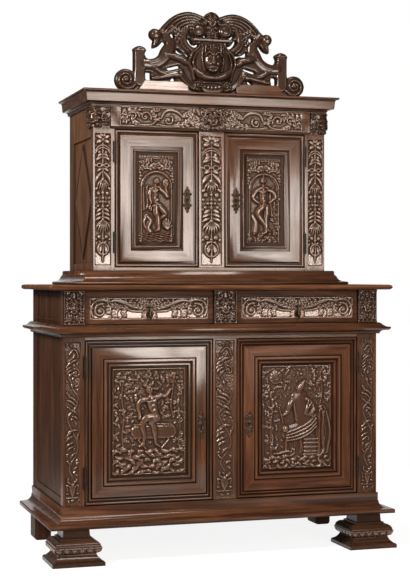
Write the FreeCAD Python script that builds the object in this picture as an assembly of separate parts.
import FreeCAD, Part
import math
import os

V = FreeCAD.Vector
os.makedirs("parts", exist_ok=True)

# Carcase sizes in mm: x to the right, front towards -y, z up from the floor
BACK = 330.0
LOW_HALF = 620.0
LOW_FRONT = -255.0
UP_HALF = 470.0
UP_FRONT = -90.0
STILE_DEPTH_LOW = 38.0
STILE_DEPTH_UP = 34.0

# Heights of the stages
FOOT_TOP = 131.0
PLINTH_TOP = 206.0
LOW_DOOR_TOP = 812.0
BELT_TOP = 867.0
LOW_TOP = 995.0
STAGE = 1014.0
UP_DOOR_FOOT = 1080.0
UP_DOOR_TOP = 1606.0
FRIEZE_TOP = 1692.0
ROOF = 1734.0
CORNICE_TOP = 1752.0

# Pilasters, from the outer face in, and half the centre one
LOW_PILASTER = 80.0
LOW_CENTRE = 46.5
UP_PILASTER = 83.0
UP_CENTRE = 51.5
SUNK = 5.0

# Front feet
FOOT_HALF = 97.0
FOOT_X = 576.0
FOOT_Y = -233.0

# Side frames and boards
REAR_STILE_LOW = (55.0, 90.0)
REAR_STILE_UP = (40.0, 70.0)
RAIL_THICK = 28.0
BOARD = 18.0
BACK_BOARD = 12.0

# Doors: gap round each leaf, set back from the pilasters, and hardware
GAP = 1.5
SETBACK = 2.0
LOW_LEAF = 30.0
UP_LEAF = 26.0
LOW_BORDER = 104.0
UP_BORDER = 96.0
KEY_INSET = 46.0
LOW_KEY_Z = 489.0
UP_KEY_Z = 1341.0
LOW_HINGES = (307.0, 713.0)
UP_HINGES = (1175.0, 1519.0)
BARREL = 5.5
PIN = 2.5
RUN = 0.05
HINGE_HALF = 40.0
AXIS_PROUD = 4.0
CASE_W = 66.0
CASE_T = 10.0
THROW = 10.0
KEYED_DOOR = "upper_right_door"

# Drawers
DRAWER_DEEP = 500.0
DRAWER_SIDE = 12.0
DRAWER_FACE = 22.0
PULL_Z = 934.0
PULL_PROUD = 13.0


def box(x0, x1, y0, y1, z0, z1):
    return Part.makeBox(x1 - x0, y1 - y0, z1 - z0, V(x0, y0, z0))


def flipped(shape):
    """The same piece on the right-hand side."""
    return shape.mirror(V(0, 0, 0), V(1, 0, 0))


def both(shape):
    return [shape, flipped(shape)]


def export(name, solids):
    shape = solids[0] if len(solids) == 1 else Part.makeCompound(solids)
    shape.exportStep("parts/" + name + ".step")


def outline(points, place):
    """A face inside straight runs and arcs; an entry of four numbers is an arc's middle and end."""
    edges = []
    here = place(*points[0])
    for entry in points[1:] + [points[0]]:
        end = place(*entry[-2:])
        if len(entry) == 4:
            edges.append(Part.Arc(here, place(*entry[:2]), end).toShape())
        elif (end - here).Length > 1e-6:
            edges.append(Part.makeLine(here, end))
        here = end
    return Part.Face(Part.Wire(edges))


def plan(points, z0, z1):
    """An upright prism on a plan outline."""
    return outline(points, lambda x, y: V(x, y, z0)).extrude(V(0, 0, z1 - z0))


def elevation(points, y0, y1):
    """A prism on a front outline, from y0 back to y1."""
    return outline(points, lambda x, z: V(x, y0, z)).extrude(V(0, y1 - y0, 0))


def cylinder(r, x, y, z, axis, length):
    return Part.makeCylinder(r, length, V(x, y, z), axis)


def facets(rings):
    """A solid with flat sides through rings of as many points each, from the bottom up."""
    loops = [ring + ring[:1] for ring in rings]
    faces = [Part.Face(Part.makePolygon(loops[0])), Part.Face(Part.makePolygon(loops[-1]))]
    for low, high in zip(loops, loops[1:]):
        for i in range(len(low) - 1):
            faces.append(Part.Face(Part.makePolygon([low[i], low[i + 1], high[i + 1], high[i], low[i]])))
    return Part.makeSolid(Part.makeShell(faces))


# Mouldings: a profile of projection and height run round the front and both sides
def planted(profile, half, front, front_to=None, side_to=None):
    """Mitred front and left runs of a moulding planted on a carcase."""
    far = 150.0
    deep = 30.0
    stop = BACK if side_to is None else side_to
    reach = half + far
    run = outline(profile, lambda p, z: V(-reach, front - p, z)).extrude(V(2 * reach, 0, 0))
    end = half if front_to is None else front_to
    if front_to is None:
        corner = [(half + far, front - far), (half - deep, front + deep)]
    else:
        corner = [(end, front - far), (end, front + deep)]
    across = plan([(-half - far, front - far)] + corner + [(-half + deep, front + deep)], 0, 2200)
    side = outline(profile, lambda p, z: V(-half - p, front - far, z)).extrude(V(0, stop - front + far, 0))
    along = plan([(-half - far, front - far), (-half + deep, front + deep), (-half + deep, stop),
                  (-half - far, stop)], 0, 2200)
    return run.common(across).Solids[0], side.common(along).Solids[0]


PLINTH = [(0, FOOT_TOP), (55, FOOT_TOP), (55, 143), (52, 146.5), (40, 147), (34, 148),
          (13, 157, 7, 174), (5, 176), (5, PLINTH_TOP), (0, PLINTH_TOP)]
BELT = [(0, 824), (10, 824), (14, 833, 24, 837), (38, 839), (43, 845), (43, 851),
        (27, 854, 17, 862), (10, BELT_TOP), (0, BELT_TOP)]
UP_BASE = [(0, STAGE), (68, STAGE), (73, 1019, 70, 1025), (62, 1027), (46, 1032, 38, 1044),
           (33, 1051), (30, 1053), (30, 1064), (27, 1068), (0, 1068)]
CORNICE = [(0, FRIEZE_TOP), (7, FRIEZE_TOP), (7, 1697), (9, 1698), (11, 1704, 17, 1707), (30, 1707), (30, 1710),
           (32, 1719, 35, 1728), (37, 1737, 43, 1743), (46, 1745), (46, CORNICE_TOP), (0, CORNICE_TOP)]


def moulding(name, profile, half, front):
    front_run, left = planted(profile, half, front)
    export(name, [front_run, left, flipped(left)])


# Feet: square moulded blocks, the same profile on all four sides
FOOT = [(0, 0), (FOOT_HALF, 0), (FOOT_HALF, 13), (94, 16), (79, 26, 70, 42), (66, 44), (66, 50),
        (82, 54, 85, 66), (79, 82, 62, 90), (59, 91), (59, 96), (51, 98), (48, FOOT_TOP), (0, FOOT_TOP)]


def foot():
    half = outline(FOOT, lambda h, z: V(h, 0, z))
    wide = half.extrude(V(0, 2 * FOOT_HALF + 20, 0))
    wide.translate(V(0, -FOOT_HALF - 10, 0))
    wide = wide.fuse(flipped(wide)).removeSplitter()
    turned = wide.copy()
    turned.rotate(V(0, 0, 0), V(0, 0, 1), 90)
    block = wide.common(turned).Solids[0]
    block.translate(V(-FOOT_X, FOOT_Y, 0))
    return block


def sunk_field(x0, x1, z0, z1, y, depth, slope):
    """The wedge-sided hollow of a sunk panel, opening at the face y."""
    outer = [V(x0, y, z0), V(x1, y, z0), V(x1, y, z1), V(x0, y, z1), V(x0, y, z0)]
    inner = [V(x0 + slope, y + depth, z0 + slope), V(x1 - slope, y + depth, z0 + slope),
             V(x1 - slope, y + depth, z1 - slope), V(x0 + slope, y + depth, z1 - slope)]
    return Part.makeLoft([Part.makePolygon(outer), Part.makePolygon(inner + inner[:1])], True, True)


# Hinges: a pin knuckle on the pilaster, a socket knuckle on the door above it
def hinge_pocket(x, y, z):
    return cylinder(BARREL + 0.4, x, y, z - HINGE_HALF - 1, V(0, 0, 1), 2 * HINGE_HALF + 2)


def fixed_hinge(edge, front, z):
    """Leaf let into the pilaster, lower knuckle and the pin standing in it."""
    x = edge + GAP / 2
    y = front - AXIS_PROUD
    leaf = box(edge - 2, edge, y, front + 24, z - HINGE_HALF, z - 0.2)
    knuckle = cylinder(BARREL, x, y, z - HINGE_HALF, V(0, 0, 1), HINGE_HALF - 0.2)
    pin = cylinder(PIN, x, y, z - 1, V(0, 0, 1), 33)
    return leaf.fuse([knuckle, pin]).removeSplitter()


def moving_hinge(edge, front, z):
    """Leaf let into the door edge and the upper knuckle, bored for the pin."""
    x = edge + GAP / 2
    y = front - AXIS_PROUD
    leaf = box(edge + GAP, edge + GAP + 2, y, front + 26, z + 0.2, z + HINGE_HALF)
    knuckle = cylinder(BARREL, x, y, z + 0.2, V(0, 0, 1), HINGE_HALF - 0.2)
    bore = cylinder(PIN + RUN, x, y, z, V(0, 0, 1), 34)
    return leaf.fuse(knuckle).removeSplitter().cut(bore)


def pilaster_cuts(edge, front, heights):
    """Hollows in a left pilaster for its knuckles and let-in leaves."""
    cuts = []
    for z in heights:
        cuts.append(hinge_pocket(edge + GAP / 2, front - AXIS_PROUD, z))
        cuts.append(box(edge - 2, edge + 1, front - 1, front + 24, z - HINGE_HALF, z))
    return cuts


def bolt_mortise(edge, case_y, key_z):
    """The hole in the centre pilaster that the left door's bolt enters."""
    return box(edge - 1, edge + 14, case_y + 1, case_y + CASE_T - 1, key_z + 17, key_z + 31)


LOW_CASE_Y = LOW_FRONT + SETBACK + LOW_LEAF - CASE_T
UP_CASE_Y = UP_FRONT + SETBACK + UP_LEAF - CASE_T


# Lower carcase
def lower_pilasters():
    edge = -LOW_HALF + LOW_PILASTER
    post = box(-LOW_HALF, edge, LOW_FRONT, LOW_FRONT + STILE_DEPTH_LOW, FOOT_TOP, LOW_TOP)
    post = post.cut(sunk_field(-LOW_HALF + 7, edge - 14, 214, 806, LOW_FRONT, SUNK, 4))
    post = post.cut(pilaster_cuts(edge, LOW_FRONT, LOW_HINGES))
    post = post.cut(lower_panel_tongue())
    centre = box(-LOW_CENTRE, LOW_CENTRE, LOW_FRONT, LOW_FRONT + STILE_DEPTH_LOW, PLINTH_TOP, LOW_DOOR_TOP)
    centre = centre.cut(sunk_field(-LOW_CENTRE + 9, LOW_CENTRE - 9, 214, 806, LOW_FRONT, SUNK, 4))
    hole = bolt_mortise(-LOW_CENTRE, LOW_CASE_Y, LOW_KEY_Z)
    centre = centre.cut([hole, flipped(hole)])
    export("lower_corner_pilasters", both(post))
    export("lower_centre_pilaster", [centre])


def lower_front_rails():
    back = LOW_FRONT + STILE_DEPTH_LOW
    edge = LOW_HALF - LOW_PILASTER
    foot_rail = box(-edge, edge, LOW_FRONT, back, FOOT_TOP, PLINTH_TOP)
    belt_rail = box(-edge, edge, LOW_FRONT, back, LOW_DOOR_TOP, BELT_TOP)
    divider = box(-LOW_CENTRE, LOW_CENTRE, LOW_FRONT, back, BELT_TOP, LOW_TOP)
    export("lower_front_rails", [foot_rail, belt_rail, divider])


def lower_panel_tongue():
    return box(-LOW_HALF + 8, -LOW_HALF + 16, LOW_FRONT + STILE_DEPTH_LOW - 8,
               BACK - REAR_STILE_LOW[1] + 8, 228, 888)


def rear_foot(x0, x1, y):
    """The foot that a rear stile runs down to, rounded at its bottom corners."""
    turn = 12.0
    ease = turn * (1 - math.sqrt(0.5))
    shape = [(x0, FOOT_TOP), (x0, turn), (x0 + ease, ease, x0 + turn, 0), (x1 - turn, 0),
             (x1 - ease, ease, x1, turn), (x1, FOOT_TOP)]
    return elevation(shape, y, BACK)


def lower_sides():
    thick, wide = REAR_STILE_LOW
    front = LOW_FRONT + STILE_DEPTH_LOW
    inner = -LOW_HALF + RAIL_THICK
    stile = box(-LOW_HALF, -LOW_HALF + thick, BACK - wide, BACK, FOOT_TOP, LOW_TOP)
    stile = stile.fuse(rear_foot(-LOW_HALF - 10, -LOW_HALF + thick, BACK - wide)).removeSplitter()
    head = box(-LOW_HALF, inner, front, BACK - wide, 880, LOW_TOP)
    head = head.cut(box(-LOW_HALF - 1, -LOW_HALF + 4, front + 10, BACK - wide - 12, 888, 974))
    sill = box(-LOW_HALF, inner, front, BACK - wide, FOOT_TOP, 236)
    tongue = lower_panel_tongue()
    members = [member.cut(tongue) for member in (stile, head, sill)]
    export("lower_side_frames", members + [flipped(member) for member in members])
    field = box(-LOW_HALF + 3, -LOW_HALF + 20, front + 0.3, BACK - wide - 0.3, 236.3, 879.7)
    export("lower_side_panels", both(field.fuse(tongue).removeSplitter()))


def boarding(name, half, z0, z1, count):
    """Upright back boards with chamfered joints."""
    wide = 2 * half / count
    boards = []
    for i in range(count):
        x0 = -half + i * wide + 0.2
        x1 = x0 + wide - 0.4
        shape = [(x0, BACK - BACK_BOARD), (x1, BACK - BACK_BOARD), (x1, BACK - 2), (x1 - 2, BACK),
                 (x0 + 2, BACK), (x0, BACK - 2)]
        boards.append(plan(shape, z0, z1))
    export(name, boards)


def notched_board(half, front, stile, z0, z1, slack):
    """A level board let round both rear stiles."""
    board = box(-half + slack, half - slack, front, BACK - BACK_BOARD - slack, z0, z1)
    thick, wide = stile
    corner = box(-half - 20, -half + thick - RAIL_THICK + slack, BACK - wide - slack, BACK, z0 - 1, z1 + 1)
    return board.cut([corner, flipped(corner)])


def lower_boards():
    half = LOW_HALF - RAIL_THICK
    back = LOW_FRONT + STILE_DEPTH_LOW
    floor = notched_board(half, back, REAR_STILE_LOW, PLINTH_TOP - BOARD, PLINTH_TOP, 0.0)
    deck = notched_board(half, back, REAR_STILE_LOW, 848, 860, 0.0)
    export("drawer_deck", [deck])
    shelf = notched_board(half, LOW_FRONT + 60, REAR_STILE_LOW, 500, 500 + BOARD, 0.6)
    bearer = box(-LOW_HALF + 20, -half + 17, back, BACK - REAR_STILE_LOW[1], 476, 500)
    up_half = UP_HALF - RAIL_THICK
    up_back = UP_FRONT + STILE_DEPTH_UP
    up_floor = notched_board(up_half, up_back, REAR_STILE_UP, 1060, 1078, 0.0)
    export("bottom_boards", [floor, up_floor])
    up_shelf = notched_board(up_half, UP_FRONT + 50, REAR_STILE_UP, 1330, 1330 + BOARD, 0.6)
    export("shelves", [shelf, up_shelf])
    up_bearer = box(-UP_HALF + 20, -up_half + 14, up_back, BACK - REAR_STILE_UP[1], 1308, 1330)
    export("shelf_bearers", both(bearer) + both(up_bearer))


def drawer_runners():
    back = LOW_FRONT + STILE_DEPTH_LOW
    edge = -LOW_HALF + LOW_PILASTER
    outer = box(edge, edge + 20, back, BACK - 14, 860, 868)
    inner = box(-LOW_CENTRE - 19.5, -LOW_CENTRE + 0.5, back, BACK - 14, 860, 868)
    guide = box(edge - 12, edge, back, BACK - 95, 860, 905)
    middle = box(-LOW_CENTRE + 0.5, LOW_CENTRE - 0.5, back, BACK - 14, 860, 905)
    export("drawer_runners", both(outer) + both(inner) + both(guide) + [middle])


def mask_blocks():
    """Bulging blocks between the drawers, the ground for their masks."""
    side = [(0, BELT_TOP), (5, BELT_TOP), (5, 873), (14, 928, 8, 980), (10, 984), (10, LOW_TOP), (0, LOW_TOP)]
    place = lambda x0: (lambda p, z: V(x0, LOW_FRONT - p, z))
    left = outline(side, place(-LOW_HALF)).extrude(V(LOW_PILASTER, 0, 0))
    centre = outline(side, place(-LOW_CENTRE)).extrude(V(2 * LOW_CENTRE, 0, 0))
    export("drawer_mask_blocks", both(left) + [centre])


def lower_top_board():
    """The top of the lower stage, its front and ends worked to a rounded nose."""
    nose = [(-60, LOW_TOP), (40, LOW_TOP), (44, LOW_TOP + 3), (48, LOW_TOP + 11, 40, STAGE - 1),
            (36, STAGE), (-60, STAGE)]
    half = LOW_HALF
    run = outline(nose, lambda p, z: V(-800, LOW_FRONT - p, z)).extrude(V(1600, 0, 0))
    core = box(-800, 800, LOW_FRONT + 60, BACK, LOW_TOP, STAGE)
    slab = run.fuse(core).removeSplitter()
    end = outline(nose, lambda p, z: V(-half - p, -400, z)).extrude(V(0, 800, 0))
    field = box(-half + 60, half - 60, -400, BACK + 70, LOW_TOP, STAGE)
    ends = field.fuse([end, flipped(end)]).removeSplitter()
    export("lower_top_board", [slab.common(ends).Solids[0]])


# Upper carcase
def upper_pilasters():
    edge = -UP_HALF + UP_PILASTER
    back = UP_FRONT + STILE_DEPTH_UP
    post = box(-UP_HALF, edge, UP_FRONT, back, STAGE, ROOF)
    post = post.cut(sunk_field(-UP_HALF + 7, edge - 13, 1088, 1588, UP_FRONT, SUNK, 4))
    post = post.cut(pilaster_cuts(edge, UP_FRONT, UP_HINGES))
    post = post.cut(upper_panel_tongue())
    centre = box(-UP_CENTRE, UP_CENTRE, UP_FRONT, back, UP_DOOR_FOOT, UP_DOOR_TOP)
    centre = centre.cut(sunk_field(-UP_CENTRE + 10, UP_CENTRE - 10, 1088, 1588, UP_FRONT, SUNK, 4))
    hole = bolt_mortise(-UP_CENTRE, UP_CASE_Y, UP_KEY_Z)
    centre = centre.cut([hole, flipped(hole)])
    export("upper_corner_pilasters", both(post))
    export("upper_centre_pilaster", [centre])


def upper_front_rails():
    back = UP_FRONT + STILE_DEPTH_UP
    edge = UP_HALF - UP_PILASTER
    foot_rail = box(-edge, edge, UP_FRONT, back, STAGE, UP_DOOR_FOOT)
    head_rail = box(-edge, edge, UP_FRONT, back, UP_DOOR_TOP, ROOF)
    export("upper_front_rails", [foot_rail, head_rail])


def upper_panel_tongue():
    return box(-UP_HALF + 8, -UP_HALF + 16, UP_FRONT + STILE_DEPTH_UP - 8,
               BACK - REAR_STILE_UP[1] + 8, 1088, 1583)


def upper_sides():
    """Framed sides with a raised lozenge on each panel."""
    thick, wide = REAR_STILE_UP
    front = UP_FRONT + STILE_DEPTH_UP
    rear = BACK - wide
    inner = -UP_HALF + RAIL_THICK
    stile = box(-UP_HALF, -UP_HALF + thick, rear, BACK, STAGE, ROOF)
    head = box(-UP_HALF, inner, front, rear, 1575, ROOF)
    sill = box(-UP_HALF, inner, front, rear, STAGE, 1096)
    tongue = upper_panel_tongue()
    members = [member.cut(tongue) for member in (stile, head, sill)]
    export("upper_side_frames", members + [flipped(member) for member in members])
    field = box(-UP_HALF + 8, -UP_HALF + 20, front + 0.3, rear - 0.3, 1096.3, 1574.7)
    middle_y = (front + rear) / 2
    middle_z = (1096 + 1575) / 2

    def lozenge(x, half_y, half_z):
        tips = [V(x, middle_y - half_y, middle_z), V(x, middle_y, middle_z - half_z),
                V(x, middle_y + half_y, middle_z), V(x, middle_y, middle_z + half_z)]
        return Part.makePolygon(tips + tips[:1])

    deep = (rear - front) / 2 - 3
    tall = (1575 - 1096) / 2 - 4
    raised = Part.makeLoft([lozenge(-UP_HALF + 10, deep, tall), lozenge(-UP_HALF + 2, deep - 7, tall - 13)],
                           True, True)
    export("upper_side_panels", both(field.fuse([tongue, raised]).removeSplitter()))


def frieze():
    """The carved frieze board's ground, hollowed along its lower edge."""
    profile = [(0, UP_DOOR_TOP), (3, UP_DOOR_TOP), (6, 1612, 12, 1615), (12, FRIEZE_TOP), (0, FRIEZE_TOP)]
    reach = UP_HALF - 66
    board = outline(profile, lambda p, z: V(-reach, UP_FRONT - p, z)).extrude(V(2 * reach, 0, 0))
    field = sunk_field(-368, 368, 1623, 1687, UP_FRONT - 12, 5, 2)
    export("frieze", [board.cut(field)])


def corner_consoles():
    """Bracket blocks under the cornice corners, the ground for their masks."""
    profile = [(0, 1608), (10, 1608), (15, 1616), (32, 1640, 24, 1668), (30, 1676), (32, FRIEZE_TOP),
               (0, FRIEZE_TOP)]
    front_run, side_run = planted(profile, UP_HALF, UP_FRONT, -UP_HALF + 66, UP_FRONT + 62)
    export("corner_consoles", both(front_run.fuse(side_run).removeSplitter()))


def upper_top_board():
    export("upper_top_board", [box(-UP_HALF, UP_HALF, UP_FRONT, BACK, ROOF, CORNICE_TOP)])


# Crest: a pierced board with spiral volutes at its ends and a shield in front
CREST_Y = UP_FRONT - 2.0
CREST_T = 30.0
VOLUTE = (341.5, 1794.0, 42.0)
BALL = (227.0, 1972.0, 22.0)
MASK = (0.0, 2040.0, 29.0)


def chain(runs, y):
    """A face inside lines of two points and sweeps of arcs, each arc on three points."""
    edges = []
    for run in runs:
        spots = [V(x, y, z) for x, z in run]
        if len(run) == 2:
            edges.append(Part.makeLine(*spots))
            continue
        for i in range(0, len(run) - 1, 2):
            edges.append(Part.Arc(*spots[i:i + 3]).toShape())
    return Part.Face(Part.Wire(edges))


def crest_half(y):
    """Right half of the silhouette: volute, capped post, beast, wing and top mask."""
    vx, vz, vr = VOLUTE
    bx, bz, br = BALL
    mx, mz, mr = MASK
    post = 310.0
    meet = vz + math.sqrt(vr * vr - (vx - post) ** 2)
    lip = (bx - 17, bz + math.sqrt(br * br - 17 * 17))
    chin = (bx + 4, bz - math.sqrt(br * br - 16))
    brow = (28, mz + math.sqrt(mr * mr - 28 * 28))
    return chain([
        [(0, CORNICE_TOP), (vx, CORNICE_TOP)],
        [(vx, vz - vr), (vx + vr, vz), (post, meet)],
        [(post, meet), (post, 1904)], [(post, 1904), (post + 3.5, 1908)], [(post + 3.5, 1908), (post + 3.5, 1912)],
        [(post + 3.5, 1912), (287, 1924.5), (260.5, 1912)], [(260.5, 1912), (260.5, 1907)],
        [(260.5, 1907), (267, 1900)], [(267, 1900), (267, 1890)],
        [(267, 1890), (261, 1880), (249, 1875.5), (228, 1881), (208, 1896), (201, 1914), (184, 1938)],
        [(184, 1938), (191, 1946), (200, 1945), (214, 1927), (237, 1919)],
        [(237, 1919), (236, 1935), chin],
        [chin, (bx + br, bz), lip],
        [lip, (197, 2004), (180, 2022), (157, 2042.5), (128, 2057.5), (95, 2064.5), (62, 2060.5), (46, 2055), brow],
        [brow, (16, mz + math.sqrt(mr * mr - 16 * 16)), (0, mz + mr)],
        [(0, mz + mr), (0, CORNICE_TOP)]], y)


CREST_HOLES = [
    [(240, 1797), (253, 1795), (266, 1797), (266.5, 1811), (266, 1825), (253, 1826.5), (241, 1825), (244, 1812)],
    [(152, 1956), (162, 1961), (170, 1970), (161, 1979), (153, 1978), (150, 1967)],
    [(101, 1965), (97, 1949), (86, 1937), (69, 1928.5), (54, 1937), (52, 1943), (54, 1947), (69, 1938.5),
     (84, 1951), (91, 1961)],
    [(141, 1926), (127, 1909), (106, 1904), (94, 1901), (91, 1893), (94, 1887), (98, 1888), (106, 1898),
     (120, 1899), (134, 1899), (144, 1904), (145, 1914)],
    [(179, 1846), (158, 1851), (136, 1857), (127, 1854), (127, 1847), (150, 1841), (178, 1834), (181, 1840)],
    [(146, 1796), (147, 1807), (152, 1811), (163, 1803), (171, 1796), (158, 1794)],
    [(92, 1995), (83, 1978), (66, 1968), (72, 1965), (82, 1968), (91, 1979)],
    [(36, 1969), (31, 1976), (22, 1981), (21, 1975), (22, 1969), (29, 1968)],
]


def volute_band(cx, cz, y0, y1):
    """A spiral roll of two turns that narrows to its eye."""
    turns = 2.0
    steps = 17

    def spot(i, share):
        t = i / (steps - 1)
        r = VOLUTE[2] * (1 - share) * math.exp(-1.75 * t)
        a = -math.pi / 2 + 2 * math.pi * turns * t
        return (cx + r * math.cos(a), cz + r * math.sin(a))

    outer = [spot(i, 0.0) for i in range(steps)]
    inner = [spot(i, 0.22) for i in reversed(range(steps))]
    face = chain([outer, [outer[-1], inner[0]], inner, [inner[-1], outer[0]]], y0)
    return face.extrude(V(0, y1 - y0, 0))


def crest():
    half = crest_half(CREST_Y).extrude(V(0, CREST_T, 0))
    for hole in CREST_HOLES:
        half = half.cut(chain([hole + hole[:1]], CREST_Y - 5).extrude(V(0, CREST_T + 10, 0)))
    band = volute_band(VOLUTE[0], VOLUTE[1], CREST_Y + 1, CREST_Y - 9)
    eye = cylinder(8, VOLUTE[0], CREST_Y + 1, VOLUTE[1], V(0, -1, 0), 14)
    half = half.fuse([band, eye])
    export("crest_board", half.fuse(flipped(half)).removeSplitter().Solids)


def crest_base_rail():
    """Sloped rails in front of the crest board's foot, cut off on the slant beside the volutes."""
    profile = [(0, CORNICE_TOP), (16, CORNICE_TOP), (16, 1757), (14, 1760), (4, 1793), (0, 1795)]
    right = outline(profile, lambda p, z: V(98, CREST_Y - p, z)).extrude(V(220, 0, 0))
    end = elevation([(90, CORNICE_TOP), (300, CORNICE_TOP), (268, 1795), (90, 1795)], CREST_Y - 30, CREST_Y)
    export("crest_base_rail", both(right.common(end)))


def crest_shield():
    """The strapwork shield with its head in relief, planted on the crest board."""
    y = CREST_Y
    half = chain([
        [(0, 1763), (48, 1763)],
        [(48, 1763), (76, 1784), (66, 1803)],
        [(66, 1803), (80, 1836), (94, 1868), (82, 1901), (52, 1926)],
        [(52, 1926), (52, 1952)], [(52, 1952), (0, 1952)], [(0, 1952), (0, 1763)]], y)
    plate = half.extrude(V(0, -10, 0))
    plate = plate.fuse(flipped(plate)).removeSplitter()
    bar = elevation([(-83, 1951), (83, 1951), (81, 1964), (-81, 1964)], y - 17, y)
    turns = [math.pi * i / 8 for i in range(9)]
    sizes = ((8, 1830), (22, 1842), (31, 1880), (32, 1908), (24, 1928), (8, 1938))
    head = facets([[V(r * math.cos(a), y - 4 - r * math.sin(a), z) for a in turns] for r, z in sizes])
    scroll = cylinder(19, 57, y, 1784, V(0, -1, 0), 16)
    shape = plate.fuse([bar, head] + both(scroll)).removeSplitter()
    export("crest_shield", shape.Solids)


# Doors
# A frame's section from its outer edge in: bead, groove, flat, then stepped beads down to the panel
LOW_MEMBER = [(0, -LOW_LEAF), (0, -3), (2, -1), (6, 2.5, 10, -1), (11, -6), (15, -6), (16, -3), (19, -0.5, 22, -3),
              (23, -7), (27, -7), (28, 2), (66, 9), (66, 0), (70, 0), (75, 5, 80, 0), (81, -6), (87, -6),
              (88, -5), (91, -2.5, 94, -5), (95, -8.5), (LOW_BORDER, -8.5), (LOW_BORDER, -14), (96, -14),
              (96, -22), (LOW_BORDER, -22), (LOW_BORDER, -LOW_LEAF)]
UP_MEMBER = [(0, -UP_LEAF), (0, -3), (2, -1), (7, 3, 12, -1), (13, -6), (20, -6), (22, 3), (62, 3),
             (62, -4), (74, -6), (75, -4), (79, 0, 83, -4), (84, -9), (UP_BORDER, -9), (UP_BORDER, -13), (88, -13),
             (88, -20), (UP_BORDER, -20), (UP_BORDER, -UP_LEAF)]


def door_frame(member, x0, x1, z0, z1, y):
    """Two stiles and two rails of one moulded section, mitred at the corners."""
    out = 30.0
    into = 130.0
    bars = []
    for side, edge in ((1, x0), (-1, x1)):
        bar = outline(member, lambda a, b: V(edge + side * a, y - b, z0 - out)).extrude(V(0, 0, z1 - z0 + 2 * out))
        corners = [(edge - side * out, z0 - out), (edge + side * into, z0 + into),
                   (edge + side * into, z1 - into), (edge - side * out, z1 + out)]
        bars.append(bar.common(elevation(corners, y - 60, y + 60)).Solids[0])
    for side, edge in ((1, z0), (-1, z1)):
        bar = outline(member, lambda a, b: V(x0 - out, y - b, edge + side * a)).extrude(V(x1 - x0 + 2 * out, 0, 0))
        corners = [(x0 - out, edge - side * out), (x0 + into, edge + side * into),
                   (x1 - into, edge + side * into), (x1 + out, edge - side * out)]
        bars.append(bar.common(elevation(corners, y - 60, y + 60)).Solids[0])
    return bars


def keyhole(x, z, y0, y1, r):
    """A round hole with the slot for the key's bit below it."""
    hole = cylinder(r, x, y0, z, V(0, 1, 0), y1 - y0)
    return hole.fuse(box(x - 1.7, x + 1.7, y0, y1, z - 14, z))


def escutcheon(x, y, z):
    """A long oval key plate drawn out to a point at each end."""
    side = [(0, 50), (4, 41), (9, 33), (13, 20), (15, 7), (15, -7), (13, -20), (9, -33), (4, -41)]
    oval = [(x + a, z + b) for a, b in side] + [(x - a, z - b) for a, b in side]
    return elevation(oval, y - 2.5, y)


def lock_case(x1, case_y, key_z, keyed):
    """A flat iron case at the closing edge, hollow for the bolt and, where a key stands, for its bit."""
    case = box(x1 - CASE_W, x1, case_y, case_y + CASE_T, key_z - 24, key_z + 36)
    xk = x1 - KEY_INSET
    case = case.cut(box(x1 - 58, x1 + 1, case_y + 2, case_y + 8, key_z + 18, key_z + 30))
    if keyed:
        hollow = cylinder(15.5, xk, case_y + 2, key_z, V(0, 1, 0), 6)
        case = case.cut([hollow, keyhole(xk, key_z, case_y - 1, case_y + 3, 3 + RUN)])
    return case


def lock_bolt(x1, case_y, key_z):
    return box(x1 - 48, x1 - 0.3, case_y + 2.1, case_y + 7.9, key_z + 18.1, key_z + 29.9)


def door(name, x0, x1, z0, z1, front, member, border, case_y, key_z, hinges, make):
    """One leaf; make turns the left-hand pieces into those of either side."""
    y = front + SETBACK
    pilaster = x0 - GAP
    xk = x1 - KEY_INSET
    ledge = member[-4][1]
    height, lean = face_at(member, KEY_INSET)
    cuts = [box(x1 - CASE_W, x1 + 1, case_y, case_y + CASE_T + 1, key_z - 24, key_z + 36),
            keyhole(xk, key_z, y - 20, case_y + 1, 3.6)]
    for z in hinges:
        cuts.append(box(x0 - 1, x0 + 2, front - 5, front + 26, z, z + HINGE_HALF))
    bars = []
    for bar in door_frame(member, x0, x1, z0, z1, y):
        bars += bar.cut(cuts).Solids
    export(name + "_frame", [make(bar) for bar in bars])
    tongue = box(x0 + border - 7.4, x1 - border + 7.4, y - ledge + 0.2, y - ledge + 6.6,
                 z0 + border - 7.4, z1 - border + 7.4)
    field = box(x0 + border + 0.3, x1 - border - 0.3, y + 10, y - ledge + 2, z0 + border + 0.3, z1 - border - 0.3)
    export(name + "_panel", [make(tongue.fuse(field).removeSplitter())])
    plate = escutcheon(xk, y - height, key_z)
    plate.rotate(V(xk, y - height, key_z), V(0, 0, 1), lean)
    plate = plate.cut(keyhole(xk, key_z, y - 30, y + 20, 3.6))
    export(name + "_escutcheon", [make(plate)])
    irons = [moving_hinge(pilaster, front, z) for z in hinges]
    irons.append(lock_case(x1, case_y, key_z, name == KEYED_DOOR))
    export(name + "_ironwork", [make(piece) for piece in irons])
    export(name + "_lock_bolt", [make(lock_bolt(x1, case_y, key_z))])


def face_at(member, a):
    """Height and lean in degrees of a door member's front face, at a distance from its edge."""
    face = [entry[-2:] for entry in member[1:-6]]
    for (a0, b0), (a1, b1) in zip(face, face[1:]):
        if a0 < a < a1:
            slope = (b1 - b0) / (a1 - a0)
            return b0 + slope * (a - a0), math.degrees(math.atan(slope))


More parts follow.
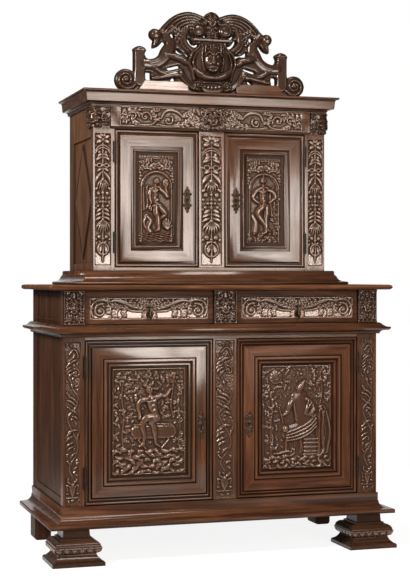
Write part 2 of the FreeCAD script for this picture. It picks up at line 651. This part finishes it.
def doors():
    low_x0 = -LOW_HALF + LOW_PILASTER + GAP
    low_x1 = -LOW_CENTRE - GAP
    up_x0 = -UP_HALF + UP_PILASTER + GAP
    up_x1 = -UP_CENTRE - GAP
    for side, make in (("left", lambda s: s), ("right", flipped)):
        door("lower_%s_door" % side, low_x0, low_x1, PLINTH_TOP + GAP, LOW_DOOR_TOP - GAP, LOW_FRONT,
             LOW_MEMBER, LOW_BORDER, LOW_CASE_Y, LOW_KEY_Z, LOW_HINGES, make)
        door("upper_%s_door" % side, up_x0, up_x1, UP_DOOR_FOOT + GAP, UP_DOOR_TOP - GAP, UP_FRONT,
             UP_MEMBER, UP_BORDER, UP_CASE_Y, UP_KEY_Z, UP_HINGES, make)
    fixed = [fixed_hinge(low_x0 - GAP, LOW_FRONT, z) for z in LOW_HINGES]
    fixed += [fixed_hinge(up_x0 - GAP, UP_FRONT, z) for z in UP_HINGES]
    export("carcase_hinges", fixed + [flipped(hinge) for hinge in fixed])


def key():
    """The key standing in the upper right door: ring bow, collared shank and bit."""
    x = UP_CENTRE + GAP + KEY_INSET
    z = UP_KEY_Z
    tip = UP_CASE_Y + 7.5
    head = UP_FRONT - 22
    shank = cylinder(3, x, head, z, V(0, 1, 0), tip - head)
    collar = cylinder(5, x, head + 2, z, V(0, 1, 0), 3)
    round_of = lambda r, s: [(x + r * math.cos(a), head - 13 + s * math.sin(a))
                             for a in (math.pi * i / 9 for i in range(18))]
    bow = plan(round_of(13, 16), z - 2, z + 2).cut(plan(round_of(8.5, 10.5), z - 3, z + 3))
    bit = box(x, x + 13, UP_CASE_Y + 2.6, tip, z - 1.3, z + 1.3)
    export("key", [shank.fuse([collar, bow, bit]).removeSplitter()])


# Drawers
def tails(x0, side, y0, deep, z0, z1):
    """Three dovetails along the front end of a drawer side."""
    pitch = (z1 - z0) / 3
    shapes = []
    for i in range(3):
        middle = z0 + (i + 0.5) * pitch
        root = pitch * 0.26
        wide = pitch * 0.36
        shape = [V(x0, y0, middle - wide), V(x0, y0 + deep, middle - root),
                 V(x0, y0 + deep, middle + root), V(x0, y0, middle + wide)]
        shapes.append(Part.Face(Part.makePolygon(shape + shape[:1])).extrude(V(side, 0, 0)))
    return shapes


def drawer(name, make):
    x0 = -LOW_HALF + LOW_PILASTER + GAP
    x1 = -LOW_CENTRE - GAP
    z0 = BELT_TOP + 2.5
    z1 = LOW_TOP - 2
    y = LOW_FRONT
    face = box(x0, x1, y, y + DRAWER_FACE, z0, z1)
    middle = (x0 + x1) / 2
    hollow = sunk_field(x0 + 16, x1 - 16, z0 + 15, z1 - 25, y, 5, 2)
    pad = elevation([(middle - 27, PULL_Z - 10), (middle, PULL_Z - 42), (middle + 27, PULL_Z - 10),
                     (middle, PULL_Z + 22)], y, y + 6)
    face = face.cut(hollow.cut(pad))
    foot = BELT_TOP + 1.4
    head = z1 - 18
    lap = 14.0
    sides = []
    for left in (x0 + 0.4, x1 - 0.4 - DRAWER_SIDE):
        board = box(left, left + DRAWER_SIDE, y + DRAWER_FACE, y + DRAWER_DEEP, foot, head)
        teeth = tails(left, DRAWER_SIDE, y + DRAWER_FACE - lap, lap, z0 + 3, head - 3)
        face = face.cut(teeth)
        sides.append(board.fuse(teeth).removeSplitter())
    inner0 = x0 + 0.4 + DRAWER_SIDE
    inner1 = x1 - 0.4 - DRAWER_SIDE
    floor = box(inner0 - 6, inner1 + 6, y + DRAWER_FACE - 6, y + DRAWER_DEEP - 4, foot + 8, foot + 15)
    rear = box(inner0, inner1, y + DRAWER_DEEP - 16, y + DRAWER_DEEP - 4, foot + 15, head - 6)
    export(name + "_front", [make(face.cut(floor))])
    export(name + "_box", [make(piece) for piece in [board.cut(floor) for board in sides] + [rear, floor]])
    export(name + "_pull_plate", [make(pull_plate(middle, y))])
    export(name + "_pull_drop", [make(pull_drop(middle, y))])


def pull_plate(x, y):
    """Lozenge back plate with two lugs and the cross pin."""
    z = PULL_Z
    quarter = [(0, 28), (4, 18), (8, 9), (13, 4), (23, 0)]
    turn = [(a, b) for a, b in quarter] + [(a, -b) for a, b in quarter[-2::-1]]
    turn += [(-a, -b) for a, b in quarter[1:]] + [(-a, b) for a, b in quarter[-2:0:-1]]
    plate = elevation([(x + a, z - 10 + b) for a, b in turn], y - 3, y)
    lug = outline([(y - 3, z - 4), (y - PULL_PROUD - 2, z - 4), (y - PULL_PROUD - 4, z - 1),
                   (y - PULL_PROUD - 4, z + 1), (y - PULL_PROUD - 2, z + 4), (y - 3, z + 4)],
                  lambda b, h: V(x - 9, b, h)).extrude(V(3.8, 0, 0))
    other = lug.copy()
    other.translate(V(14.2, 0, 0))
    pin = cylinder(1.8, x - 9, y - PULL_PROUD, z, V(1, 0, 0), 18)
    return plate.fuse([lug, other, pin]).removeSplitter()


def pull_drop(x, y):
    """Pear drop on an eye, bored to swing on the cross pin."""
    z = PULL_Z
    axis_y = y - PULL_PROUD
    eye = cylinder(4.6, x - 4.8, axis_y, z, V(1, 0, 0), 9.6)
    shank = box(x - 2, x + 2, axis_y - 2, axis_y + 2, z - 19, z - 3)
    turns = [math.pi * i / 6 for i in range(12)]
    sizes = ((1.2, -51), (4.0, -45), (6.6, -38), (6.6, -33), (4.4, -24), (3.0, -17))
    pear = facets([[V(x + r * math.cos(a), axis_y + r * math.sin(a), z + h) for a in turns] for r, h in sizes])
    bore = cylinder(1.8 + RUN, x - 10, axis_y, z, V(1, 0, 0), 20)
    return eye.fuse([shank, pear]).removeSplitter().cut(bore)


left_foot = foot()
export("front_feet", both(left_foot))
moulding("plinth_moulding", PLINTH, LOW_HALF, LOW_FRONT)
lower_pilasters()
lower_front_rails()
lower_sides()
boarding("lower_back_boards", LOW_HALF - REAR_STILE_LOW[0], FOOT_TOP, LOW_TOP, 7)
lower_boards()
moulding("belt_moulding", BELT, LOW_HALF, LOW_FRONT)
drawer_runners()
mask_blocks()
lower_top_board()
moulding("upper_base_moulding", UP_BASE, UP_HALF, UP_FRONT)
upper_pilasters()
upper_front_rails()
upper_sides()
boarding("upper_back_boards", UP_HALF - REAR_STILE_UP[0], STAGE, ROOF, 5)
frieze()
corner_consoles()
moulding("cornice_moulding", CORNICE, UP_HALF, UP_FRONT)
upper_top_board()
crest()
crest_base_rail()
crest_shield()
doors()
key()
drawer("left_drawer", lambda s: s)
drawer("right_drawer", flipped)
